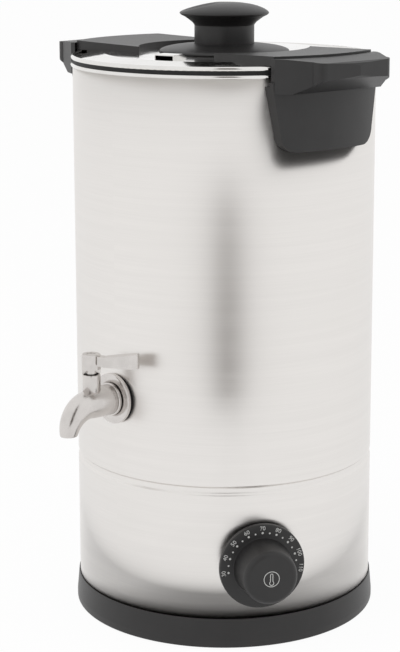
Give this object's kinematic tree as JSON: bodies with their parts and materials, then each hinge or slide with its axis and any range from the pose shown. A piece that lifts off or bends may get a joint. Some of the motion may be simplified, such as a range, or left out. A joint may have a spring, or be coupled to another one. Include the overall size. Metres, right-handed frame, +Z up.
{
  "type": "candle wax melter",
  "caption": "Round double-walled steel pot that melts wax: black base and side handles, lift-off lid with knob, quarter-turn tap and temperature dial.",
  "frame": {"origin": "centre of the overall box on the table plane; the pot's own axis is vertical and stands 21.0 mm behind it", "axes": "+Z up along the pot's axis; the tap points along -Y, the power inlet along +Y, the handles stand 5 degrees from +X and -X, towards the tap; the dial is between the tap and the right handle"},
  "size_m": [0.28, 0.2788, 0.4498],
  "materials": {
    "brushed_shell": "stainless sheet, brushed up and down",
    "polished_steel": "stainless sheet, polished",
    "cast_steel": "cast stainless, satin polished",
    "black_plastic": "moulded nylon, fine satin",
    "base_plastic": "moulded plastic, satin",
    "black_rubber": "silicone rubber",
    "red_rubber": "silicone rubber",
    "aluminium_plate": "milled",
    "element_sheath": "oxidised steel sheath",
    "zinc_steel": "zinc plated sheet",
    "zinc_screws": "zinc plated",
    "brass_terminals": "plain brass",
    "white_plastic": "moulded, heat resistant",
    "brown_phenolic": "moulded phenolic",
    "copper_bulb": "drawn copper",
    "glass_fibre": "needled glass fibre",
    "wire_cover": "silicone wire covering"
  },
  "bodies": {
    "vessel": {"outer_shell": "brushed_shell", "inner_tank": "polished_steel", "insulation_sleeve": "glass_fibre", "heater_plate": "aluminium_plate", "heating_element": "element_sheath", "element_clamp": "zinc_steel", "heater_studs": "zinc_screws", "stud_nuts": "zinc_screws", "heat_shield": "zinc_steel", "thermal_cutout": "brown_phenolic", "cutout_screws": "zinc_screws", "base_ring": "base_plastic", "base_plate": "zinc_steel", "base_screws": "zinc_screws", "rubber_feet": "black_rubber", "terminal_block": "white_plastic", "terminal_screws": "brass_terminals", "wiring": "wire_cover", "handle_right": "black_plastic", "handle_left": "black_plastic", "handle_screws": "zinc_screws", "tap_body": "cast_steel", "tap_flange": "cast_steel", "tap_washer": "black_rubber", "tap_inner_washer": "red_rubber", "tap_lock_nut": "cast_steel", "tap_bonnet": "cast_steel", "stem_seal": "black_rubber", "thermostat_body": "white_plastic", "thermostat_bracket": "zinc_steel", "thermostat_spacers": "zinc_steel", "thermostat_screws": "zinc_screws", "thermostat_bulb": "copper_bulb", "bulb_clip": "zinc_steel", "power_inlet": "base_plastic", "inlet_bezel": "base_plastic", "inlet_pins": "brass_terminals", "inlet_screws": "zinc_screws"},
    "lid": {"lid_disc": "polished_steel", "lid_seal": "black_rubber", "wing_right": "black_plastic", "wing_left": "black_plastic", "wing_screws": "zinc_screws", "lid_knob": "black_plastic", "knob_brim": "black_plastic", "knob_screw": "zinc_screws"},
    "tap_handle": {"valve_plug": "cast_steel", "tap_stem": "cast_steel", "tap_lever": "cast_steel", "lever_screw": "cast_steel"},
    "dial": {"dial_knob": "black_plastic", "thermostat_shaft": "zinc_screws"}
  },
  "joints": [
    {"name": "lid_lift", "type": "slide", "parent": "vessel", "child": "lid", "axis": [0, 0, 1], "range_m": [0, 0.12]},
    {"name": "tap_turn", "type": "hinge", "parent": "vessel", "child": "tap_handle", "pos_m": [0, -0.11155, 0.205], "axis": [0, 0, 1], "range_deg": [-90, 0]},
    {"name": "dial_turn", "type": "hinge", "parent": "vessel", "child": "dial", "pos_m": [0.09413, -0.03787, 0.0626], "axis": [0.848, -0.5299, 0], "range_deg": [-96, 96]}
  ]
}
